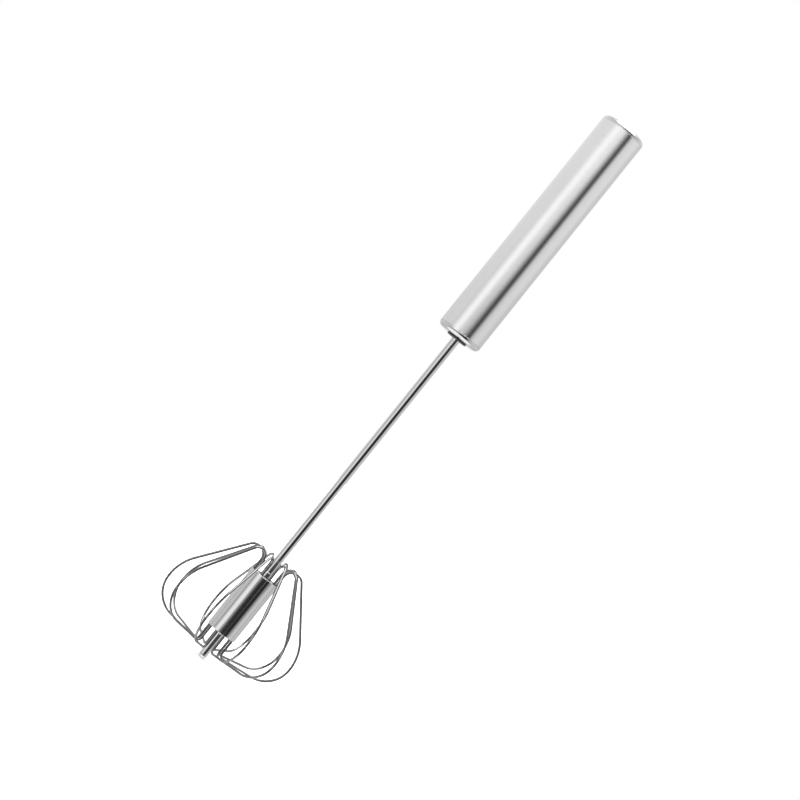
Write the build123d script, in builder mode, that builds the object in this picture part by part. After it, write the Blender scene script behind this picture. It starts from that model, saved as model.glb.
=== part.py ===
from build123d import *
import os

# Push-down rotary whisk. Pressing the handle drives a twisted strip through a slotted nut
# on top of the hollow shaft, so the shaft and the cage of wire loops turn while the handle
# slides down over the shaft. A spring lifts the handle again.
# Millimetres, +Z up the shaft, origin at the rounded tip of the shaft.

os.makedirs("parts", exist_ok=True)

# Fits between round pieces
PRESS_GAP = 0.03          # radial room drawn between pieces that are pressed together
RUN_GAP = 0.06            # radial room of a running fit
SEAT_GAP = 0.02           # axial room drawn between faces that sit on each other

# Handle: a tube between two end caps, brushed all over but for the polished bottom cap
HANDLE_R = 11.1
HANDLE_WALL = 0.6
HANDLE_BORE_R = HANDLE_R - HANDLE_WALL
TUBE_EDGE = 0.08          # cut ends of the tube, just broken
HANDLE_LOW = 183.1        # flat end face of the bottom cap
HANDLE_TOP = 303.8
CAP_LIP = 2.5             # height of the visible rounded band of each cap
CAP_ROUND = 2.35
CAP_FLOOR = 2.1
SPIGOT_R = HANDLE_BORE_R - PRESS_GAP
SPIGOT_WALL = 1.0
SPIGOT_LENGTH = 4.6
TUBE_LOW = HANDLE_LOW + CAP_LIP
TUBE_TOP = HANDLE_TOP - CAP_LIP

# Hollow shaft with a closed, rounded lower end
SHAFT_R = 2.0
SHAFT_BORE_R = 1.55
SHAFT_TOP = 200.4

# Bush in the bottom cap, its star clip and the rubber stop above it
BUSH_FLANGE_R = 5.1
BUSH_FLANGE = 0.8
BUSH_ROUND = 0.3
BUSH_BARREL_R = 4.2
BUSH_TOP = 189.0
CLIP_R = 6.6
CLIP_THICK = 0.5
CLIP_TEETH = 6
CLIP_NOTCH_DEEP = 1.2      # notches between the clip's teeth
CLIP_NOTCH_WIDE = 0.9
CLIP_NOTCH_R = BUSH_BARREL_R + 0.5
STOP_R = 6.0
STOP_THICK = 1.6
STOP_ROOM = 0.3           # the rubber hangs loose round the shaft

# Drive nut on the shaft's upper end
NUT_FLANGE_R = 5.2
NUT_LOW = 190.9
NUT_SHOULDER = 199.5
NUT_TOP = 205.7
JOURNAL_R = 3.2

# Guide piston that the spring presses on, and the washer it turns against
WASHER_R = 5.6
WASHER_THICK = 0.6
PISTON_ROOM = 0.1         # the piston slides in the tube
PISTON_R = HANDLE_BORE_R - PISTON_ROOM
PISTON_EDGE = 0.4
PISTON_LENGTH = 8.0
PISTON_WELL_R = 4.2
PISTON_WELL_RISE = 0.5    # the well starts this far above the nut
SPRING_PEG_R = 5.5
SPRING_PEG = 4.0

# Twisted strip and the plug that holds it in the top of the handle
STRIP_WIDTH = 2.6
STRIP_THICK = 0.7
STRIP_LEAD = 30.0         # one turn of the whisk for each 30 mm of travel
STRIP_LOW = 193.0
SLOT_ROOM = 0.12          # room all round the strip in the nut's slot
SLOT_OVERRUN = 0.5        # the slot's cutter starts and ends outside the nut
TAB_WIDTH = 5.0
TAB_LOW = 289.6
TAB_TOP = 296.4
HOLDER_LOW = 289.0
HOLDER_TOP = TUBE_TOP - SPIGOT_LENGTH
HOLDER_BOSS_R = 5.3
HOLDER_BOSS = 4.0
HOLDER_EDGE = 0.5
HOLDER_ROOM = 0.3         # round the strip where it passes through the boss
PIN_R = 0.6
PIN_LENGTH = 15.0
PIN_EDGE = 0.15
PIN_HEIGHT = 293.2

# Return spring
SPRING_R = 6.4            # to the middle of the wire
SPRING_WIRE_R = 0.35
SPRING_TURNS = 20

# Hub: a grooved core inside a polished sleeve
SLEEVE_R = 7.45
SLEEVE_BORE_R = 7.03
SLEEVE_EDGE = 0.18
SLEEVE_LOW = 14.4
SLEEVE_TOP = 45.8
CORE_R = 6.9
CORE_RECESS = 0.4         # core ends sit this far inside the sleeve
COLLAR_R = 2.42
COLLAR_EDGE = 0.2
UPPER_COLLAR = 3.0
LOWER_COLLAR = 1.4

# Ten spring-steel loops, evenly meant but bent by hand
WIRE_R = 0.6
WIRE_ROOT_R = 6.4         # circle on which the wire ends stand in the hub
WIRE_HOLD = 13.8          # length of each wire end inside the sleeve
BELLY_R = 34.25
BELLY_TOP = 27.4          # where the slope would meet the belly, before rounding
BELLY_LOW = 8.3
LOOP_APEX = 64.4          # where the slope would meet the wire root, before rounding
LOOP_FOOT = 4.9
LOOP_ROUNDS = (4.5, 21.2, 13.2, 1.8)
# Where each loop stands in degrees, and how far its bend strays outward and upward
LOOPS = (
    (0, 0.25, 0.1),
    (36.8, 0.1, 0.3),
    (69, 0, 0.4),
    (110, -0.1, 0),
    (147, -0.1, -0.4),
    (182, -0.1, -0.2),
    (215.5, -0.4, 0.4),
    (254.7, -0.1, -0.1),
    (291, 0, 0),
    (322.9, 0.1, -0.2),
)


def ring(outer, inner, low, high):
    """A plain tube about the shaft's axis."""
    with BuildPart() as body:
        with BuildSketch(Plane.XY.offset(low)):
            Circle(outer)
            Circle(inner, mode=Mode.SUBTRACT)
        extrude(amount=high - low)
    return body.part


def save(part, name):
    part.label = name
    export_step(part, f"parts/{name}.step")


# ---------------------------------------------------------------- handle shell

with BuildPart() as handle_tube:
    with BuildSketch(Plane.XY.offset(TUBE_LOW)):
        Circle(HANDLE_R)
        Circle(HANDLE_BORE_R, mode=Mode.SUBTRACT)
    extrude(amount=TUBE_TOP - TUBE_LOW)
    rims = handle_tube.edges().filter_by(GeomType.CIRCLE).group_by(SortBy.RADIUS)[-1]
    chamfer(rims, TUBE_EDGE)
save(handle_tube.part, "handle_tube")

# The top cap is a cup, pressed upside down into the tube
with BuildPart() as top_cap:
    with BuildSketch(Plane.XY.offset(TUBE_TOP + SEAT_GAP)):
        Circle(HANDLE_R)
    extrude(amount=CAP_LIP - SEAT_GAP)
    fillet(top_cap.edges().group_by(Axis.Z)[-1], CAP_ROUND)
    with BuildSketch(Plane.XY.offset(TUBE_TOP + SEAT_GAP)):
        Circle(SPIGOT_R)
    extrude(amount=-SPIGOT_LENGTH + SEAT_GAP)
    with BuildSketch(Plane.XY.offset(HANDLE_TOP - CAP_FLOOR)):
        Circle(SPIGOT_R - SPIGOT_WALL)
    extrude(amount=-(CAP_LIP - CAP_FLOOR + SPIGOT_LENGTH), mode=Mode.SUBTRACT)
save(top_cap.part, "top_cap")

# The bottom cap has a hole that the bush is pressed through
with BuildPart() as bottom_cap:
    with BuildSketch(Plane.XY.offset(HANDLE_LOW)):
        Circle(HANDLE_R)
    extrude(amount=CAP_LIP - SEAT_GAP)
    fillet(bottom_cap.edges().group_by(Axis.Z)[0], CAP_ROUND)
    with BuildSketch(Plane.XY.offset(TUBE_LOW - SEAT_GAP)):
        Circle(SPIGOT_R)
    extrude(amount=SPIGOT_LENGTH)
    with BuildSketch(Plane.XY.offset(HANDLE_LOW + CAP_FLOOR)):
        Circle(SPIGOT_R - SPIGOT_WALL)
    extrude(amount=CAP_LIP - CAP_FLOOR + SPIGOT_LENGTH, mode=Mode.SUBTRACT)
    with BuildSketch(Plane.XY.offset(HANDLE_LOW)):
        Circle(BUSH_BARREL_R + PRESS_GAP)
    extrude(amount=CAP_FLOOR, mode=Mode.SUBTRACT)
save(bottom_cap.part, "bottom_cap")

# ---------------------------------------------------------------- bush and stop

with BuildPart() as shaft_bush:
    with BuildSketch(Plane.XY.offset(HANDLE_LOW - BUSH_FLANGE)):
        Circle(BUSH_FLANGE_R)
    extrude(amount=BUSH_FLANGE - SEAT_GAP)
    fillet(shaft_bush.edges().group_by(Axis.Z)[0], BUSH_ROUND)
    with BuildSketch(Plane.XY.offset(HANDLE_LOW - SEAT_GAP)):
        Circle(BUSH_BARREL_R)
    extrude(amount=BUSH_TOP - HANDLE_LOW + SEAT_GAP)
    with BuildSketch(Plane.XY.offset(HANDLE_LOW - BUSH_FLANGE)):
        Circle(SHAFT_R + RUN_GAP)
    extrude(amount=BUSH_TOP - HANDLE_LOW + BUSH_FLANGE, mode=Mode.SUBTRACT)
save(shaft_bush.part, "shaft_bush")

# A star clip bites on the bush barrel and holds it in the cap
CLIP_LOW = HANDLE_LOW + CAP_FLOOR + SEAT_GAP
with BuildPart() as bush_clip:
    with BuildSketch(Plane.XY.offset(CLIP_LOW)):
        Circle(CLIP_R)
        Circle(BUSH_BARREL_R + PRESS_GAP, mode=Mode.SUBTRACT)
        with PolarLocations(CLIP_NOTCH_R, CLIP_TEETH):
            Rectangle(CLIP_NOTCH_DEEP, CLIP_NOTCH_WIDE, mode=Mode.SUBTRACT)
    extrude(amount=CLIP_THICK)
save(bush_clip.part, "bush_clip")

STOP_LOW = BUSH_TOP + SEAT_GAP
stop_washer = ring(STOP_R, SHAFT_R + STOP_ROOM, STOP_LOW, STOP_LOW + STOP_THICK)
save(stop_washer, "stop_washer")

# ---------------------------------------------------------------- twisted strip


def strip_angle(height):
    """Turn of the strip, in degrees, at a height along the shaft."""
    return (height - TAB_LOW) * 360 / STRIP_LEAD


def twisted_bar(width, thick, low, high):
    """A flat bar twisted right-handed about the shaft's axis."""
    with BuildPart() as bar:
        with BuildLine(mode=Mode.PRIVATE) as axis:
            Line((0, 0, low), (0, 0, high))
        with BuildLine(mode=Mode.PRIVATE) as guide:
            Helix(pitch=STRIP_LEAD, height=high - low, radius=width, center=(0, 0, low))
        with BuildSketch(Plane.XY.offset(low)):
            Rectangle(width, thick, rotation=strip_angle(low))
        sweep(path=axis.wire(), binormal=guide.wire())
    return bar.part


with BuildPart() as twisted_strip:
    add(twisted_bar(STRIP_WIDTH, STRIP_THICK, STRIP_LOW, TAB_LOW))
    with BuildSketch(Plane.XY.offset(TAB_LOW)):
        Rectangle(TAB_WIDTH, STRIP_THICK)
    extrude(amount=TAB_TOP - TAB_LOW)
    with BuildSketch(Plane.XZ.offset(-STRIP_THICK)):
        with Locations((0, PIN_HEIGHT)):
            Circle(PIN_R + PRESS_GAP)
    extrude(amount=2 * STRIP_THICK, mode=Mode.SUBTRACT)
save(twisted_strip.part, "twisted_strip")

with BuildPart() as strip_holder:
    with BuildSketch(Plane.XY.offset(HOLDER_LOW)):
        Circle(SPIGOT_R)
    extrude(amount=HOLDER_TOP - HOLDER_LOW)
    with BuildSketch(Plane.XY.offset(HOLDER_LOW)):
        Circle(HOLDER_BOSS_R)
    extrude(amount=-HOLDER_BOSS)
    chamfer(strip_holder.edges().group_by(Axis.Z)[0], HOLDER_EDGE)
    with BuildSketch(Plane.XY.offset(HOLDER_LOW - HOLDER_BOSS)):
        Circle(STRIP_WIDTH / 2 + HOLDER_ROOM)
    extrude(amount=HOLDER_TOP - HOLDER_LOW + HOLDER_BOSS, mode=Mode.SUBTRACT)
    with BuildSketch(Plane.XY.offset(TAB_LOW - SEAT_GAP)):
        Rectangle(TAB_WIDTH + 2 * PRESS_GAP, STRIP_THICK + 2 * PRESS_GAP)
    extrude(amount=HOLDER_TOP - TAB_LOW + SEAT_GAP, mode=Mode.SUBTRACT)
    with BuildSketch(Plane.XZ.offset(-HANDLE_R)):
        with Locations((0, PIN_HEIGHT)):
            Circle(PIN_R + PRESS_GAP)
    extrude(amount=2 * HANDLE_R, mode=Mode.SUBTRACT)
save(strip_holder.part, "strip_holder")

with BuildPart() as strip_pin:
    with BuildSketch(Plane.XZ.offset(-PIN_LENGTH / 2)):
        with Locations((0, PIN_HEIGHT)):
            Circle(PIN_R)
    extrude(amount=PIN_LENGTH)
    chamfer(strip_pin.edges().filter_by(GeomType.CIRCLE), PIN_EDGE)
save(strip_pin.part, "strip_pin")

# ---------------------------------------------------------------- guide piston

WASHER_LOW = NUT_SHOULDER + SEAT_GAP
PISTON_LOW = WASHER_LOW + WASHER_THICK + SEAT_GAP
PISTON_TOP = PISTON_LOW + PISTON_LENGTH
thrust_washer = ring(WASHER_R, JOURNAL_R + RUN_GAP, WASHER_LOW, WASHER_LOW + WASHER_THICK)
save(thrust_washer, "thrust_washer")

with BuildPart() as guide_piston:
    with BuildSketch(Plane.XY.offset(PISTON_LOW)):
        Circle(PISTON_R)
    extrude(amount=PISTON_LENGTH)
    chamfer(guide_piston.edges(), PISTON_EDGE)
    with BuildSketch(Plane.XY.offset(PISTON_TOP)):
        Circle(SPRING_PEG_R)
    extrude(amount=SPRING_PEG)
    chamfer(guide_piston.edges().group_by(Axis.Z)[-1], PISTON_EDGE)
    with BuildSketch(Plane.XY.offset(PISTON_LOW)):
        Circle(JOURNAL_R + RUN_GAP)
    extrude(amount=PISTON_LENGTH + SPRING_PEG, mode=Mode.SUBTRACT)
    with BuildSketch(Plane.XY.offset(NUT_TOP + PISTON_WELL_RISE)):
        Circle(PISTON_WELL_R)
    extrude(amount=PISTON_TOP + SPRING_PEG - NUT_TOP, mode=Mode.SUBTRACT)
save(guide_piston.part, "guide_piston")

# ---------------------------------------------------------------- return spring

SPRING_LOW = PISTON_TOP + SPRING_WIRE_R + SEAT_GAP
SPRING_TOP = HOLDER_LOW - SPRING_WIRE_R - SEAT_GAP
with BuildPart() as return_spring:
    with BuildLine() as coil:
        Helix(
            pitch=(SPRING_TOP - SPRING_LOW) / SPRING_TURNS,
            height=SPRING_TOP - SPRING_LOW,
            radius=SPRING_R,
            center=(0, 0, SPRING_LOW),
        )
    with BuildSketch(Plane(origin=coil.wire() @ 0, z_dir=coil.wire() % 0)):
        Circle(SPRING_WIRE_R)
    sweep(path=coil.wire(), is_frenet=True)
save(return_spring.part, "return_spring")

# ---------------------------------------------------------------- shaft and nut

with BuildPart() as shaft_tube:
    with BuildSketch(Plane.XZ):
        with BuildLine():
            RadiusArc((SHAFT_R, SHAFT_R), (0, 0), SHAFT_R)
            Line((0, 0), (0, SHAFT_R - SHAFT_BORE_R))
            RadiusArc((0, SHAFT_R - SHAFT_BORE_R), (SHAFT_BORE_R, SHAFT_R), -SHAFT_BORE_R)
            Line((SHAFT_BORE_R, SHAFT_R), (SHAFT_BORE_R, SHAFT_TOP))
            Line((SHAFT_BORE_R, SHAFT_TOP), (SHAFT_R, SHAFT_TOP))
            Line((SHAFT_R, SHAFT_TOP), (SHAFT_R, SHAFT_R))
        make_face()
    revolve(axis=Axis.Z)
save(shaft_tube.part, "shaft_tube")

SOCKET_TOP = SHAFT_TOP + SEAT_GAP
with BuildPart() as drive_nut:
    with BuildSketch(Plane.XY.offset(NUT_LOW)):
        Circle(NUT_FLANGE_R)
    extrude(amount=NUT_SHOULDER - NUT_LOW)
    with BuildSketch(Plane.XY.offset(NUT_SHOULDER)):
        Circle(JOURNAL_R)
    extrude(amount=NUT_TOP - NUT_SHOULDER)
    with BuildSketch(Plane.XY.offset(NUT_LOW)):
        Circle(SHAFT_R + PRESS_GAP)
    extrude(amount=SOCKET_TOP - NUT_LOW, mode=Mode.SUBTRACT)
    add(
        twisted_bar(
            STRIP_WIDTH + 2 * SLOT_ROOM,
            STRIP_THICK + 2 * SLOT_ROOM,
            SOCKET_TOP - SLOT_OVERRUN,
            NUT_TOP + SLOT_OVERRUN,
        ),
        mode=Mode.SUBTRACT,
    )
save(drive_nut.part, "drive_nut")

# ---------------------------------------------------------------- hub

CORE_LOW = SLEEVE_LOW + CORE_RECESS
CORE_TOP = SLEEVE_TOP - CORE_RECESS

with BuildPart() as hub_sleeve:
    with BuildSketch(Plane.XY.offset(SLEEVE_LOW)):
        Circle(SLEEVE_R)
        Circle(SLEEVE_BORE_R, mode=Mode.SUBTRACT)
    extrude(amount=SLEEVE_TOP - SLEEVE_LOW)
    rims = hub_sleeve.edges().filter_by(GeomType.CIRCLE).group_by(SortBy.RADIUS)[-1]
    fillet(rims, SLEEVE_EDGE)
save(hub_sleeve.part, "hub_sleeve")

with BuildPart() as hub_core:
    with BuildSketch(Plane.XY.offset(CORE_LOW)):
        Circle(CORE_R)
        Circle(SHAFT_R + PRESS_GAP, mode=Mode.SUBTRACT)
        for azimuth, _, _ in LOOPS:
            with PolarLocations(WIRE_ROOT_R, 1, start_angle=azimuth):
                Circle(WIRE_R + PRESS_GAP, mode=Mode.SUBTRACT)
    extrude(amount=CORE_TOP - CORE_LOW)
save(hub_core.part, "hub_core")

collar_seats = {
    "upper_collar": (CORE_TOP + SEAT_GAP, CORE_TOP + SEAT_GAP + UPPER_COLLAR),
    "lower_collar": (CORE_LOW - SEAT_GAP - LOWER_COLLAR, CORE_LOW - SEAT_GAP),
}
for collar_name, (collar_low, collar_top) in collar_seats.items():
    with BuildPart() as collar:
        with BuildSketch(Plane.XY.offset(collar_low)):
            Circle(COLLAR_R)
            Circle(SHAFT_R + PRESS_GAP, mode=Mode.SUBTRACT)
        extrude(amount=collar_top - collar_low)
        rims = collar.edges().filter_by(GeomType.CIRCLE).group_by(SortBy.RADIUS)[-1]
        fillet(rims, COLLAR_EDGE)
    save(collar.part, collar_name)

# ---------------------------------------------------------------- wire loops

UPPER_END = SLEEVE_TOP - WIRE_HOLD
LOWER_END = SLEEVE_LOW + WIRE_HOLD

for number, (azimuth, reach, lift) in enumerate(LOOPS, start=1):
    corners = (
        (WIRE_ROOT_R, 0, UPPER_END),
        (WIRE_ROOT_R, 0, LOOP_APEX),
        (BELLY_R + reach, 0, BELLY_TOP + lift),
        (BELLY_R + reach, 0, BELLY_LOW + lift),
        (WIRE_ROOT_R, 0, LOOP_FOOT + lift),
        (WIRE_ROOT_R, 0, LOWER_END),
    )
    with BuildPart() as wire_loop:
        with BuildLine() as bend:
            FilletPolyline(*corners, radius=LOOP_ROUNDS)
        with BuildSketch(Plane(origin=corners[0], z_dir=(0, 0, 1))):
            Circle(WIRE_R)
        sweep(path=bend.wire())
    turned = wire_loop.part.rotate(Axis.Z, azimuth)
    save(turned, f"wire_{number:02d}")
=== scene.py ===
import math

import bmesh
import bpy
from mathutils import Matrix, Vector


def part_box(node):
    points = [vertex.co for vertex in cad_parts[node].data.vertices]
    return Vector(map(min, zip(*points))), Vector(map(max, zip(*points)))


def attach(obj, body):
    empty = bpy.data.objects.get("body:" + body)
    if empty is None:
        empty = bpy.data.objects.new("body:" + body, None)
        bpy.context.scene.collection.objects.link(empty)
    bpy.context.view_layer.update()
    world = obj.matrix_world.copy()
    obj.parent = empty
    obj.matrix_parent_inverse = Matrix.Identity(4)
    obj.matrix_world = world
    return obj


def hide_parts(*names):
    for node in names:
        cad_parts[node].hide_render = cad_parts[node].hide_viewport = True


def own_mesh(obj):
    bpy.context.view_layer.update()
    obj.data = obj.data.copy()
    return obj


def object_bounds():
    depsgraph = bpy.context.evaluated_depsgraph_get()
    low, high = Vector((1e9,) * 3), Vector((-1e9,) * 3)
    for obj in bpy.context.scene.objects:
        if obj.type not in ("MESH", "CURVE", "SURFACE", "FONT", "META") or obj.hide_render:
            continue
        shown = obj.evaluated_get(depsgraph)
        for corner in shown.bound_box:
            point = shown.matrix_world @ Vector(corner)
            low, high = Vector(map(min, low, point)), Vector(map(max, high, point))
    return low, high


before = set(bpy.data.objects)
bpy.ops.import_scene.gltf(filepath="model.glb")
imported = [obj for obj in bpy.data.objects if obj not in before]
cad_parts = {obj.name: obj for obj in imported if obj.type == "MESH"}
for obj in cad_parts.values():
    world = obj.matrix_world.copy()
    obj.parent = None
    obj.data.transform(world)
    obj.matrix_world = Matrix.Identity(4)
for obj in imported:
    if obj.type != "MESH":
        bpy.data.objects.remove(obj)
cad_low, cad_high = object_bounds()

MM = 0.001

# ------------------------------------------------------------------ camera
# A long lens a metre away, level with the middle of the shaft. The camera is
# rolled, so that the whisk lies across the picture from lower left to upper right.

camera_distance = 1.034
camera_height = 0.1268
aim_height = 0.1454
aim_side = -0.00262
shaft_slope = math.radians(51.21)
half_view = math.radians(9.84)

camera_data = bpy.data.cameras.new("camera")
camera_data.sensor_width = 36
camera_data.lens = camera_data.sensor_width / 2 / math.tan(half_view)
camera = bpy.data.objects.new("camera", camera_data)
bpy.context.collection.objects.link(camera)
bpy.context.scene.camera = camera

eye = Vector((aim_side, -camera_distance, camera_height))
ahead = (Vector((aim_side, 0, aim_height)) - eye).normalized()
picture_up = Vector((-math.cos(shaft_slope), 0, math.sin(shaft_slope)))
right = ahead.cross(picture_up).normalized()
up = right.cross(ahead)
turn = Matrix((right, up, -ahead)).transposed()
camera.matrix_world = Matrix.Translation(eye) @ turn.to_4x4()

# ------------------------------------------------------------------ studio
# A pale light tent with a narrow strip lamp overhead. In front hangs a bright soft
# panel level with the whisk, and beside the panel the tent opens on a dark room. The
# lens looks through a dark slit that runs across the panel.

# Azimuth in degrees from the lens, and how bright the tent is there, at the height of
# the slit, of the panel, above the panel and below it
slit_level = (
    (-180, 0.74), (-130, 0.76), (-75, 0.72), (-62, 0.55), (-56, 0.62), (-48, 0.95),
    (-40, 1.2), (-27, 1.05), (-18, 0.6), (-11, 0.24), (-3, 0.06), (12, 0.025),
    (24, 0.04), (40, 0.02), (47, 0.06), (53, 0.28), (60, 0.5), (78, 0.78),
    (108, 0.74), (128, 0.67), (155, 0.68), (180, 0.74),
)
panel_level = (
    (-180, 0.95), (-120, 1.0), (-80, 1.08), (-60, 1.2), (-45, 1.3), (-34, 1.55),
    (-20, 1.7), (2, 1.8), (12, 1.5), (22, 0.85), (32, 0.2), (42, 0.14), (48, 0.55),
    (58, 1.12), (100, 1.05), (128, 0.76), (155, 0.78), (180, 0.93),
)
upper_level = (
    (-180, 0.85), (-130, 0.8), (-95, 0.7), (-60, 0.6), (-20, 0.5), (-4, 0.3), (6, 0.05),
    (45, 0.06), (55, 0.4), (95, 0.6), (130, 0.8), (180, 0.85),
)
lower_level = (
    (-180, 0.6), (-160, 0.62), (-127, 0.75), (-97, 0.7), (-52, 0.6), (-20, 0.5),
    (-8, 0.3), (0, 0.03), (40, 0.03), (50, 0.35), (82, 0.7), (127, 0.75), (160, 0.62),
    (180, 0.6),
)
slit_low, slit_high = math.radians(-9), math.radians(4.6)
slit_fade = math.radians(1.4)
panel_low, panel_high = math.radians(-13), math.radians(17)
panel_fade = math.radians(3)
wall_top, roof_start = math.radians(46), math.radians(56)
horizon_fade = 0.01
roof_light = 1.05
strip_low, strip_high = math.radians(62), math.radians(84)
strip_fade = math.radians(3)
strip_light = 4.4
floor_light = 1.3

world = bpy.data.worlds.new("studio")
bpy.context.scene.world = world
world.use_nodes = True
sky = world.node_tree
sky.nodes.clear()


def node(tree, kind, **settings):
    """A new node, with its settings and the values of its unlinked inputs."""
    made = tree.nodes.new(kind)
    for key, value in settings.items():
        if key in made.inputs:
            made.inputs[key].default_value = value
        else:
            setattr(made, key, value)
    return made


def math_node(tree, operation, first, second=0.0):
    """A Math node whose inputs are sockets or numbers."""
    made = node(tree, "ShaderNodeMath", operation=operation)
    for slot, value in zip(made.inputs, (first, second)):
        if isinstance(value, bpy.types.NodeSocket):
            tree.links.new(value, slot)
        else:
            slot.default_value = value
    return made.outputs[0]


def by_azimuth(stops, turn_share):
    """Grey level of the tent at one height, all the way round."""
    ramp = node(sky, "ShaderNodeValToRGB")
    elements = ramp.color_ramp.elements
    elements.remove(elements[1])
    for index, (azimuth, level) in enumerate(stops):
        place = (azimuth + 180) / 360
        stop = elements[0] if index == 0 else elements.new(place)
        stop.position = place
        stop.color = (level, level, level, 1)
    sky.links.new(turn_share, ramp.inputs["Fac"])
    return ramp.outputs["Color"]


def fade(value, start, end):
    """Rises smoothly from 0 at start to 1 at end."""
    made = node(sky, "ShaderNodeMapRange", interpolation_type="SMOOTHSTEP")
    made.inputs["From Min"].default_value = start
    made.inputs["From Max"].default_value = end
    sky.links.new(value, made.inputs["Value"])
    return made.outputs["Result"]


def blend(factor, first, second):
    """Mixes two colours."""
    made = node(sky, "ShaderNodeMix", data_type="RGBA")
    slots = [slot for slot in made.inputs if slot.type == "RGBA"]
    sky.links.new(factor, made.inputs["Factor"])
    for slot, value in zip(slots, (first, second)):
        if isinstance(value, bpy.types.NodeSocket):
            sky.links.new(value, slot)
        else:
            slot.default_value = (value, value, value, 1)
    return next(slot for slot in made.outputs if slot.type == "RGBA")


split = node(sky, "ShaderNodeSeparateXYZ")
sky.links.new(node(sky, "ShaderNodeTexCoord").outputs["Generated"], split.inputs[0])
toward_lens = math_node(sky, "MULTIPLY", split.outputs["Y"], -1)
azimuth = math_node(sky, "ARCTAN2", split.outputs["X"], toward_lens)
turn_share = math_node(sky, "ADD", math_node(sky, "DIVIDE", azimuth, 2 * math.pi), 0.5)
elevation = math_node(sky, "ARCSINE", split.outputs["Z"])
tilt = math_node(sky, "ABSOLUTE", elevation)


def between(low, high, soft):
    """1 where the elevation lies between low and high, with soft edges."""
    above = fade(elevation, low - soft, low + soft)
    below = fade(elevation, high + soft, high - soft)
    return math_node(sky, "MULTIPLY", above, below)


slit_band = by_azimuth(slit_level, turn_share)
panel_band = by_azimuth(panel_level, turn_share)
lower_wall = by_azimuth(lower_level, turn_share)
upper_wall = by_azimuth(upper_level, turn_share)
raised = fade(elevation, -horizon_fade, horizon_fade)
wall = blend(raised, lower_wall, upper_wall)
front = blend(between(slit_low, slit_high, slit_fade), panel_band, slit_band)
tent = blend(between(panel_low, panel_high, panel_fade), wall, front)
roof = blend(between(strip_low, strip_high, strip_fade), roof_light, strip_light)
tent = blend(fade(tilt, wall_top, roof_start), tent, blend(raised, floor_light, roof))
seen = blend(node(sky, "ShaderNodeLightPath").outputs["Is Camera Ray"], tent, 1.0)
glow = node(sky, "ShaderNodeBackground")
sky.links.new(seen, glow.inputs["Color"])
sky.links.new(glow.outputs[0], node(sky, "ShaderNodeOutputWorld").inputs["Surface"])

bpy.context.scene.view_settings.view_transform = "Standard"

# A very wide overhead light whitens the floor, and the metal does not mirror it.
lamp_data = bpy.data.lights.new("overhead", "SUN")
lamp_data.angle = math.radians(100)
lamp_data.energy = 3.6
lamp = bpy.data.objects.new("overhead", lamp_data)
bpy.context.collection.objects.link(lamp)
lamp.visible_glossy = False

# ------------------------------------------------------------------ floor
# A sheet of plain matt white card under the tip of the shaft, far wider than the view.
# The metal does not mirror it.

floor_reach = 4.0
floor_mesh = bpy.data.meshes.new("floor")
floor_corners = ((-1, -1), (1, -1), (1, 1), (-1, 1))
floor_mesh.from_pydata(
    [(x * floor_reach, y * floor_reach, cad_low.z) for x, y in floor_corners],
    [],
    [(0, 1, 2, 3)],
)
floor = bpy.data.objects.new("floor", floor_mesh)
bpy.context.collection.objects.link(floor)
floor.visible_glossy = False

card = bpy.data.materials.new("white_card")
card.use_nodes = True
card_shader = card.node_tree.nodes["Principled BSDF"]
card_shader.inputs["Roughness"].default_value = 0.9
card_shader.inputs["Specular IOR Level"].default_value = 0.1
card_grain = node(card.node_tree, "ShaderNodeTexNoise", Scale=9.0, Detail=3.0)
card_tone = node(card.node_tree, "ShaderNodeValToRGB")
card_tone.color_ramp.elements[0].color = (0.93, 0.93, 0.93, 1)
card_tone.color_ramp.elements[1].color = (0.96, 0.96, 0.96, 1)
card.node_tree.links.new(card_grain.outputs["Fac"], card_tone.inputs["Fac"])
card.node_tree.links.new(card_tone.outputs["Color"], card_shader.inputs["Base Color"])
floor.data.materials.append(card)

# ------------------------------------------------------------------ handle tube
# Thin stainless tube, satin brushed round and round on a belt, with its cut ends
# just broken. The scratches run round the tube, so they smear reflections lengthwise.

tube_low, tube_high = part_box("handle_tube")
tube_radius = tube_high.x
tube_wall = 0.6 * MM
tube_edge = 0.08 * MM
lathe_steps = 160
long_run = 1 * MM
guard_gap = 0.02 * MM
axis_reach = 1e-7


def arc(centre_r, centre_z, radius, start, end, steps=8):
    """Points of a rounded corner in the (radius, height) plane. Angles in degrees."""
    points = []
    for i in range(steps + 1):
        angle = math.radians(start + (end - start) * i / steps)
        points.append((centre_r + radius * math.cos(angle), centre_z + radius * math.sin(angle)))
    return points


def guarded(profile, closed):
    """Adds a point close to each end of every long straight run, to keep its shading true."""
    runs = list(zip(profile, profile[1:]))
    if closed:
        runs.append((profile[-1], profile[0]))
    points = []
    for here, there in runs:
        points.append(here)
        length = math.dist(here, there)
        if length > long_run:
            near = guard_gap / length
            for share in (near, 1 - near):
                points.append(tuple(a + (b - a) * share for a, b in zip(here, there)))
    if not closed:
        points.append(profile[-1])
    return points


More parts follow.
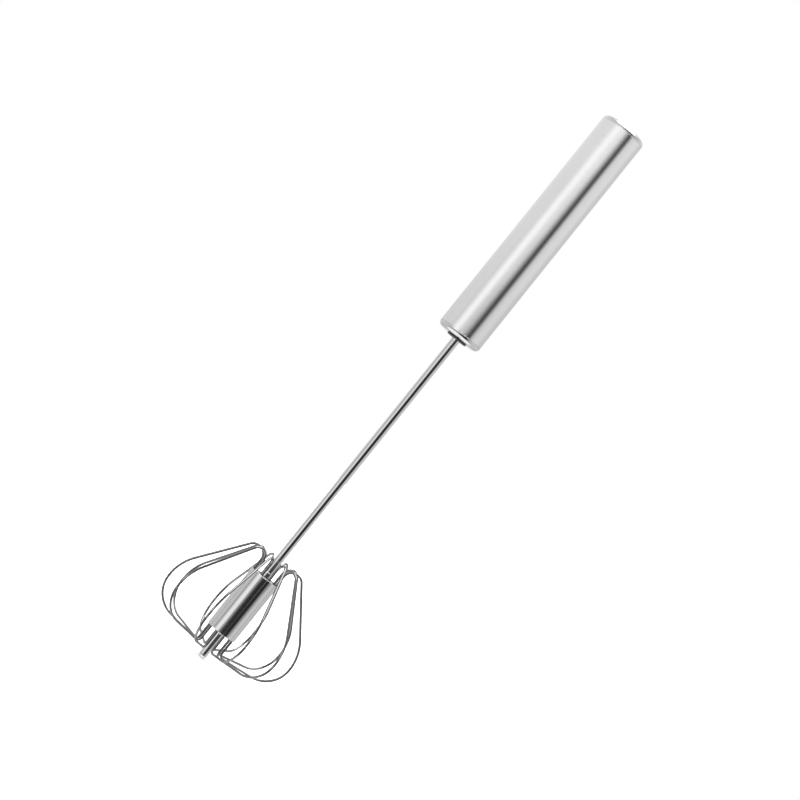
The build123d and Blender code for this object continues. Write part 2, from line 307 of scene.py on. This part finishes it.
def lathe(name, profile, steps=lathe_steps, closed=True):
    """Turns a (radius, height) outline about the shaft's axis into a smooth piece."""
    profile = guarded(profile, closed)
    mesh = bpy.data.meshes.new(name)
    work = bmesh.new()
    rings = []
    for radius, z in profile:
        if radius < axis_reach:
            rings.append([work.verts.new((0, 0, z))])
            continue
        ring = []
        for i in range(steps):
            angle = 2 * math.pi * i / steps
            ring.append(work.verts.new((radius * math.cos(angle), radius * math.sin(angle), z)))
        rings.append(ring)
    pairs = list(zip(rings, rings[1:]))
    if closed:
        pairs.append((rings[-1], rings[0]))
    for lower, upper in pairs:
        if len(lower) == 1 and len(upper) == 1:
            continue
        for i in range(steps):
            j = (i + 1) % steps
            face = (
                lower[i % len(lower)],
                lower[j % len(lower)],
                upper[j % len(upper)],
                upper[i % len(upper)],
            )
            # where a ring is a single point, the face is a triangle
            work.faces.new(list(dict.fromkeys(face)))
    bmesh.ops.recalc_face_normals(work, faces=work.faces)
    work.to_mesh(mesh)
    work.free()
    mesh.shade_smooth()
    mesh.set_sharp_from_angle(angle=math.radians(32))
    piece = bpy.data.objects.new(name, mesh)
    bpy.context.collection.objects.link(piece)
    return piece


def blank_material(name):
    """A Principled material and its tree, shader and object coordinates."""
    material = bpy.data.materials.new(name)
    material.use_nodes = True
    tree = material.node_tree
    shader = tree.nodes["Principled BSDF"]
    place = node(tree, "ShaderNodeTexCoord").outputs["Object"]
    return material, tree, shader, place


def grey_ramp(tree, value, dark, light, low=0.0, high=1.0):
    """A grey that runs from dark to light as value goes from low to high."""
    ramp = node(tree, "ShaderNodeValToRGB")
    first, last = ramp.color_ramp.elements
    first.position, last.position = low, high
    first.color = (*dark, 1)
    last.color = (*light, 1)
    tree.links.new(value, ramp.inputs["Fac"])
    return ramp.outputs["Color"]


def spread(tree, value, low, high):
    """Maps 0..1 to low..high."""
    made = node(tree, "ShaderNodeMapRange")
    made.inputs["To Min"].default_value = low
    made.inputs["To Max"].default_value = high
    tree.links.new(value, made.inputs["Value"])
    return made.outputs["Result"]


def bump(tree, height, strength, depth):
    """A Bump node over one height map."""
    made = node(tree, "ShaderNodeBump")
    made.inputs["Strength"].default_value = strength
    made.inputs["Distance"].default_value = depth
    tree.links.new(height, made.inputs["Height"])
    return made.outputs["Normal"]


def brushed_steel():
    """Satin steel whose scratches run round the Z axis."""
    material, tree, shader, place = blank_material("brushed_steel")
    parts = node(tree, "ShaderNodeSeparateXYZ")
    tree.links.new(place, parts.inputs[0])
    around = math_node(tree, "ARCTAN2", parts.outputs["Y"], parts.outputs["X"])
    rolled = node(tree, "ShaderNodeCombineXYZ")
    tree.links.new(math_node(tree, "MULTIPLY", around, 1.2), rolled.inputs["X"])
    tree.links.new(math_node(tree, "MULTIPLY", parts.outputs["Z"], 9000.0), rolled.inputs["Y"])
    scratches = node(tree, "ShaderNodeTexNoise", Scale=1.0, Detail=4.0, Roughness=0.7)
    tree.links.new(rolled.outputs[0], scratches.inputs["Vector"])
    cloud = node(tree, "ShaderNodeTexNoise", Scale=60.0, Detail=3.0)
    tree.links.new(place, cloud.inputs["Vector"])
    tone = grey_ramp(tree, scratches.outputs["Fac"], (0.69, 0.69, 0.695), (0.78, 0.78, 0.78), 0.3, 0.7)
    tree.links.new(tone, shader.inputs["Base Color"])
    tree.links.new(spread(tree, cloud.outputs["Fac"], 0.17, 0.2), shader.inputs["Roughness"])
    tree.links.new(bump(tree, scratches.outputs["Fac"], 0.12, 0.00003), shader.inputs["Normal"])
    shader.inputs["Metallic"].default_value = 1.0
    shader.inputs["Anisotropic"].default_value = 0.92
    shader.inputs["Anisotropic Rotation"].default_value = 0.25
    tangent = node(tree, "ShaderNodeTangent", direction_type="RADIAL", axis="Z")
    tree.links.new(tangent.outputs[0], shader.inputs["Tangent"])
    return material


brushed = brushed_steel()

handle_tube = lathe(
    "handle_tube_brushed",
    arc(tube_radius - tube_edge, tube_low.z + tube_edge, tube_edge, -90, 0, 3)
    + arc(tube_radius - tube_edge, tube_high.z - tube_edge, tube_edge, 0, 90, 3)
    + [(tube_radius - tube_wall, tube_high.z), (tube_radius - tube_wall, tube_low.z)],
)
handle_tube.data.materials.append(brushed)
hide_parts("handle_tube")
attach(handle_tube, "handle")

# ------------------------------------------------------------------ end caps
# Two deep-drawn stainless cups pressed into the tube's ends. The top one is brushed
# with the tube, the bottom one is mirror polished and has a hole for the bush.

cap_round = 2.35 * MM
cap_floor = 2.1 * MM
lip_step = 0.1 * MM
seat_gap = 0.02 * MM
press_gap = 0.03 * MM
spigot_wall = 1.0 * MM
spigot_radius = tube_radius - tube_wall - press_gap
spigot_bore = spigot_radius - spigot_wall


def stretched(tree, place, scale):
    """Coordinates scaled unequally, for grain that is longer one way."""
    mapping = node(tree, "ShaderNodeMapping")
    mapping.inputs["Scale"].default_value = scale
    tree.links.new(place, mapping.inputs["Vector"])
    return mapping.outputs["Vector"]


def polished_steel(name, tone, least, most, scratch):
    """Mirror-polished stainless steel with faint wipe marks."""
    material, tree, shader, place = blank_material(name)
    haze = node(tree, "ShaderNodeTexNoise", Scale=90.0, Detail=4.0, Roughness=0.6)
    tree.links.new(place, haze.inputs["Vector"])
    fine = node(tree, "ShaderNodeTexNoise", Scale=700.0, Detail=5.0, Roughness=0.7)
    tree.links.new(stretched(tree, place, (1.0, 1.0, 0.12)), fine.inputs["Vector"])
    duller = tuple(c * 0.97 for c in tone)
    wiped = grey_ramp(tree, haze.outputs["Fac"], duller, tone, 0.35, 0.65)
    tree.links.new(wiped, shader.inputs["Base Color"])
    tree.links.new(spread(tree, haze.outputs["Fac"], least, most), shader.inputs["Roughness"])
    tree.links.new(bump(tree, fine.outputs["Fac"], scratch, 0.00001), shader.inputs["Normal"])
    shader.inputs["Metallic"].default_value = 1.0
    return material


polished = polished_steel("polished_steel", (0.70, 0.70, 0.705), 0.04, 0.09, 0.04)

top_low, top_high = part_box("top_cap")
top_lip = tube_high.z + seat_gap
top_inside = top_high.z - cap_floor
top_cap = lathe(
    "top_cap_brushed",
    [(tube_radius - lip_step, top_lip)]
    + arc(tube_radius - cap_round, top_high.z - cap_round, cap_round, 0, 90, 14)
    + [(0, top_high.z), (0, top_inside), (spigot_bore, top_inside)]
    + [(spigot_bore, top_low.z), (spigot_radius, top_low.z), (spigot_radius, top_lip)],
)
top_cap.data.materials.append(brushed)
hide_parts("top_cap")
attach(top_cap, "handle")

bottom_low, bottom_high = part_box("bottom_cap")
bottom_lip = tube_low.z - seat_gap
bottom_inside = bottom_low.z + cap_floor
cap_hole = 4.23 * MM
bottom_cap = lathe(
    "bottom_cap_polished",
    [(cap_hole, bottom_inside), (cap_hole, bottom_low.z)]
    + arc(tube_radius - cap_round, bottom_low.z + cap_round, cap_round, -90, 0, 14)
    + [(tube_radius - lip_step, bottom_lip), (spigot_radius, bottom_lip)]
    + [(spigot_radius, bottom_high.z), (spigot_bore, bottom_high.z), (spigot_bore, bottom_inside)],
)
bottom_cap.data.materials.append(polished)
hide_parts("bottom_cap")
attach(bottom_cap, "handle")

# ------------------------------------------------------------------ shaft bush
# Black acetal bearing pressed through the bottom cap, for the shaft to slide and turn
# in. Its flange is the dark ring round the shaft.

bush_low, bush_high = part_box("shaft_bush")
bush_flange = bush_high.x
bush_barrel = 4.2 * MM
bush_bore = 2.06 * MM
bush_round = 0.3 * MM
bush_seat = bottom_low.z - seat_gap


def moulded_plastic(name, dark, light, least, most):
    """Smooth moulded plastic with a faint flow and eggshell grain."""
    material, tree, shader, place = blank_material(name)
    flow = node(tree, "ShaderNodeTexNoise", Scale=140.0, Detail=3.0)
    tree.links.new(place, flow.inputs["Vector"])
    grain = node(tree, "ShaderNodeTexNoise", Scale=2600.0, Detail=2.0)
    tree.links.new(place, grain.inputs["Vector"])
    streaks = grey_ramp(tree, flow.outputs["Fac"], dark, light, 0.3, 0.7)
    tree.links.new(streaks, shader.inputs["Base Color"])
    tree.links.new(spread(tree, flow.outputs["Fac"], least, most), shader.inputs["Roughness"])
    tree.links.new(bump(tree, grain.outputs["Fac"], 0.15, 0.00002), shader.inputs["Normal"])
    return material


black_acetal = moulded_plastic("black_acetal", (0.010, 0.010, 0.011), (0.018, 0.018, 0.019), 0.35, 0.45)
shaft_bush = lathe(
    "shaft_bush_black",
    [(bush_bore, bush_high.z), (bush_bore, bush_low.z)]
    + arc(bush_flange - bush_round, bush_low.z + bush_round, bush_round, -90, 0, 6)
    + [(bush_flange, bush_seat), (bush_barrel, bush_seat), (bush_barrel, bush_high.z)],
    steps=96,
)
shaft_bush.data.materials.append(black_acetal)
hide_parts("shaft_bush")
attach(shaft_bush, "handle")

# ------------------------------------------------------------------ shaft
# Polished 4 mm stainless tube, spun closed to a round tip at its lower end. It runs up
# through the bush into the handle, where the drive nut is pressed on it.

shaft_low, shaft_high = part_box("shaft_tube")
shaft_radius = shaft_high.x
shaft_bore = 1.55 * MM
shaft = lathe(
    "shaft_polished",
    arc(0, shaft_low.z + shaft_radius, shaft_radius, -90, 0, 16)
    + [(shaft_radius, shaft_high.z), (shaft_bore, shaft_high.z)]
    + arc(0, shaft_low.z + shaft_radius, shaft_bore, 0, -90, 12),
    steps=72,
    closed=False,
)
shaft.data.materials.append(polished)
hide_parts("shaft_tube")
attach(shaft, "whisk")

# ------------------------------------------------------------------ hub
# A polished sleeve over a grooved alloy core that grips the wire ends. Two small
# rings staked on the shaft keep the core in its place.

sleeve_low, sleeve_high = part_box("hub_sleeve")
sleeve_radius = sleeve_high.x
sleeve_bore = 7.03 * MM
sleeve_edge = 0.18 * MM
sleeve = lathe(
    "hub_sleeve_polished",
    arc(sleeve_radius - sleeve_edge, sleeve_low.z + sleeve_edge, sleeve_edge, -90, 0, 5)
    + arc(sleeve_radius - sleeve_edge, sleeve_high.z - sleeve_edge, sleeve_edge, 0, 90, 5)
    + [(sleeve_bore, sleeve_high.z), (sleeve_bore, sleeve_low.z)],
    steps=128,
)
sleeve.data.materials.append(polished)
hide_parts("hub_sleeve")
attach(sleeve, "whisk")

collar_edge = 0.2 * MM
collar_bore = 2.03 * MM
for collar_name in ("upper_collar", "lower_collar"):
    collar_low, collar_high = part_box(collar_name)
    collar_radius = collar_high.x
    collar = lathe(
        collar_name + "_polished",
        arc(collar_radius - collar_edge, collar_low.z + collar_edge, collar_edge, -90, 0, 5)
        + arc(collar_radius - collar_edge, collar_high.z - collar_edge, collar_edge, 0, 90, 5)
        + [(collar_bore, collar_high.z), (collar_bore, collar_low.z)],
        steps=72,
    )
    collar.data.materials.append(polished)
    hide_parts(collar_name)
    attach(collar, "whisk")


def cast_alloy():
    """Satin die-cast alloy."""
    material, tree, shader, place = blank_material("cast_alloy")
    grain = node(tree, "ShaderNodeTexNoise", Scale=1500.0, Detail=4.0, Roughness=0.6)
    tree.links.new(place, grain.inputs["Vector"])
    tone = grey_ramp(tree, grain.outputs["Fac"], (0.60, 0.60, 0.61), (0.72, 0.72, 0.72), 0.3, 0.7)
    tree.links.new(tone, shader.inputs["Base Color"])
    tree.links.new(spread(tree, grain.outputs["Fac"], 0.3, 0.42), shader.inputs["Roughness"])
    tree.links.new(bump(tree, grain.outputs["Fac"], 0.2, 0.00002), shader.inputs["Normal"])
    shader.inputs["Metallic"].default_value = 1.0
    return material


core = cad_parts["hub_core"]
core.data.materials.clear()
core.data.materials.append(cast_alloy())

# ------------------------------------------------------------------ wire loops
# Ten separate loops of 1.2 mm spring wire. Each is bent flat: up out of the sleeve,
# over a tight top bend, down a straight slope, round the belly and in again.

wire_names = [f"wire_{n:02d}" for n in range(1, 11)]
wire_radius = 0.6 * MM
root_radius = 6.4 * MM
wire_hold = 13.8 * MM
loop_apex = 64.4 * MM
belly_top = 22.5 * MM
belly_low = 3.4 * MM
loop_rounds = (4.5 * MM, 21.2 * MM, 13.2 * MM, 1.8 * MM)
foot_rise = 0.367 * MM
wire_steps = 20


def rounded_path(corners, radii, bend_step=math.radians(4)):
    """Points along straight runs joined by arcs."""
    path = [corners[0]]
    for before, corner, after, radius in zip(corners, corners[1:], corners[2:], radii):
        arrive = (corner - before).normalized()
        leave = (after - corner).normalized()
        bend = arrive.angle(leave)
        setback = radius * math.tan(bend / 2)
        inward = (leave - arrive).normalized()
        centre = corner + inward * (radius / math.cos(bend / 2))
        spoke = corner - arrive * setback - centre
        side = arrive * radius
        steps = max(4, round(bend / bend_step))
        for i in range(steps + 1):
            angle = bend * i / steps
            path.append(centre + spoke * math.cos(angle) + side * math.sin(angle))
    path.append(corners[-1])
    return path


def swept_tube(name, path, across, radius, steps):
    """A round wire along a flat path; across is the normal of the path's plane."""
    mesh = bpy.data.meshes.new(name)
    work = bmesh.new()
    rings = []
    for i, point in enumerate(path):
        before = path[max(i - 1, 0)]
        after = path[min(i + 1, len(path) - 1)]
        heading = ((point - before).normalized() + (after - point).normalized()).normalized()
        side = across.cross(heading)
        ring = []
        for k in range(steps):
            angle = 2 * math.pi * k / steps
            spoke = side * math.cos(angle) + across * math.sin(angle)
            ring.append(work.verts.new(point + radius * spoke))
        rings.append(ring)
    for lower, upper in zip(rings, rings[1:]):
        for i in range(steps):
            j = (i + 1) % steps
            work.faces.new((lower[i], lower[j], upper[j], upper[i]))
    work.faces.new(rings[0])
    work.faces.new(rings[-1])
    bmesh.ops.recalc_face_normals(work, faces=work.faces)
    work.to_mesh(mesh)
    work.free()
    mesh.shade_smooth()
    mesh.set_sharp_from_angle(angle=math.radians(50))
    piece = bpy.data.objects.new(name, mesh)
    bpy.context.collection.objects.link(piece)
    return piece


# The wire steel is the same polished steel, toned far darker (0.27 against 0.70): painted shade for the
# dark look the loops take from the room around them.
wire_steel = polished_steel("wire_steel", (0.27, 0.27, 0.273), 0.04, 0.1, 0.06)
for name in wire_names:
    # the middle of a loop's box lies on its own plane, halfway between root and belly
    box_low, box_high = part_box(name)
    middle = (box_low + box_high) / 2
    middle.z = 0
    outward = middle.normalized()
    belly_radius = 2 * middle.length - root_radius
    foot = box_low.z + foot_rise
    corners = [
        outward * r + Vector((0, 0, z))
        for r, z in (
            (root_radius, sleeve_high.z - wire_hold),
            (root_radius, loop_apex),
            (belly_radius, foot + belly_top),
            (belly_radius, foot + belly_low),
            (root_radius, foot),
            (root_radius, sleeve_low.z + wire_hold),
        )
    ]
    across = outward.cross(Vector((0, 0, 1)))
    path = rounded_path(corners, loop_rounds)
    loop = swept_tube(name + "_bright", path, across, wire_radius, wire_steps)
    loop.data.materials.append(wire_steel)
    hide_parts(name)
    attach(loop, "whisk")

# ------------------------------------------------------------------ drive inside the handle
# Hidden working parts: the twisted strip and its pin, nylon holder, nut and piston,
# a brass thrust washer, the rubber stop and the star clip.

white_nylon = moulded_plastic("white_nylon", (0.76, 0.75, 0.70), (0.84, 0.83, 0.79), 0.42, 0.55)
black_rubber = moulded_plastic("black_rubber", (0.018, 0.018, 0.018), (0.035, 0.035, 0.034), 0.75, 0.85)
strip_steel = polished_steel("strip_steel", (0.55, 0.55, 0.56), 0.22, 0.34, 0.2)
spring_steel = polished_steel("spring_steel", (0.48, 0.48, 0.49), 0.2, 0.3, 0.15)
brass = polished_steel("turned_brass", (0.72, 0.54, 0.25), 0.18, 0.28, 0.12)
inner_materials = {
    "twisted_strip": strip_steel,
    "strip_pin": spring_steel,
    "bush_clip": spring_steel,
    "strip_holder": white_nylon,
    "drive_nut": white_nylon,
    "guide_piston": white_nylon,
    "thrust_washer": brass,
    "stop_washer": black_rubber,
}
for name, material in inner_materials.items():
    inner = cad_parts[name]
    inner.data.materials.clear()
    inner.data.materials.append(material)

# ------------------------------------------------------------------ return spring
# Open-coiled compression spring between the piston and the strip holder. It shortens
# towards the holder as the handle is pressed.

spring_low, spring_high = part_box("return_spring")
spring_wire = 0.35 * MM
spring_turns = 20
spring_radius = spring_high.x - spring_wire
coil_steps = 28
coil_sides = 10


def coil(name, low, high, radius, wire, turns):
    """A helical spring with its wire as a round tube."""
    total = round(turns * coil_steps)
    bottom, top = low + wire, high - wire
    mesh = bpy.data.meshes.new(name)
    work = bmesh.new()
    rings = []
    rise = (top - bottom) / (turns * 2 * math.pi)
    for i in range(total + 1):
        angle = turns * 2 * math.pi * i / total
        out = Vector((math.cos(angle), math.sin(angle), 0))
        along = Vector((-radius * math.sin(angle), radius * math.cos(angle), rise)).normalized()
        lift = along.cross(out)
        centre = out * radius + Vector((0, 0, bottom + rise * angle))
        ring = []
        for k in range(coil_sides):
            turned = 2 * math.pi * k / coil_sides
            spoke = out * math.cos(turned) + lift * math.sin(turned)
            ring.append(work.verts.new(centre + wire * spoke))
        rings.append(ring)
    for lower, upper in zip(rings, rings[1:]):
        for k in range(coil_sides):
            j = (k + 1) % coil_sides
            work.faces.new((lower[k], lower[j], upper[j], upper[k]))
    work.faces.new(rings[0])
    work.faces.new(rings[-1])
    bmesh.ops.recalc_face_normals(work, faces=work.faces)
    work.to_mesh(mesh)
    work.free()
    mesh.shade_smooth()
    piece = bpy.data.objects.new(name, mesh)
    bpy.context.collection.objects.link(piece)
    return piece


spring = coil(
    "return_spring_coil", spring_low.z, spring_high.z, spring_radius, spring_wire, spring_turns
)
spring.data.materials.append(spring_steel)
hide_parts("return_spring")
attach(spring, "handle")
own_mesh(spring)
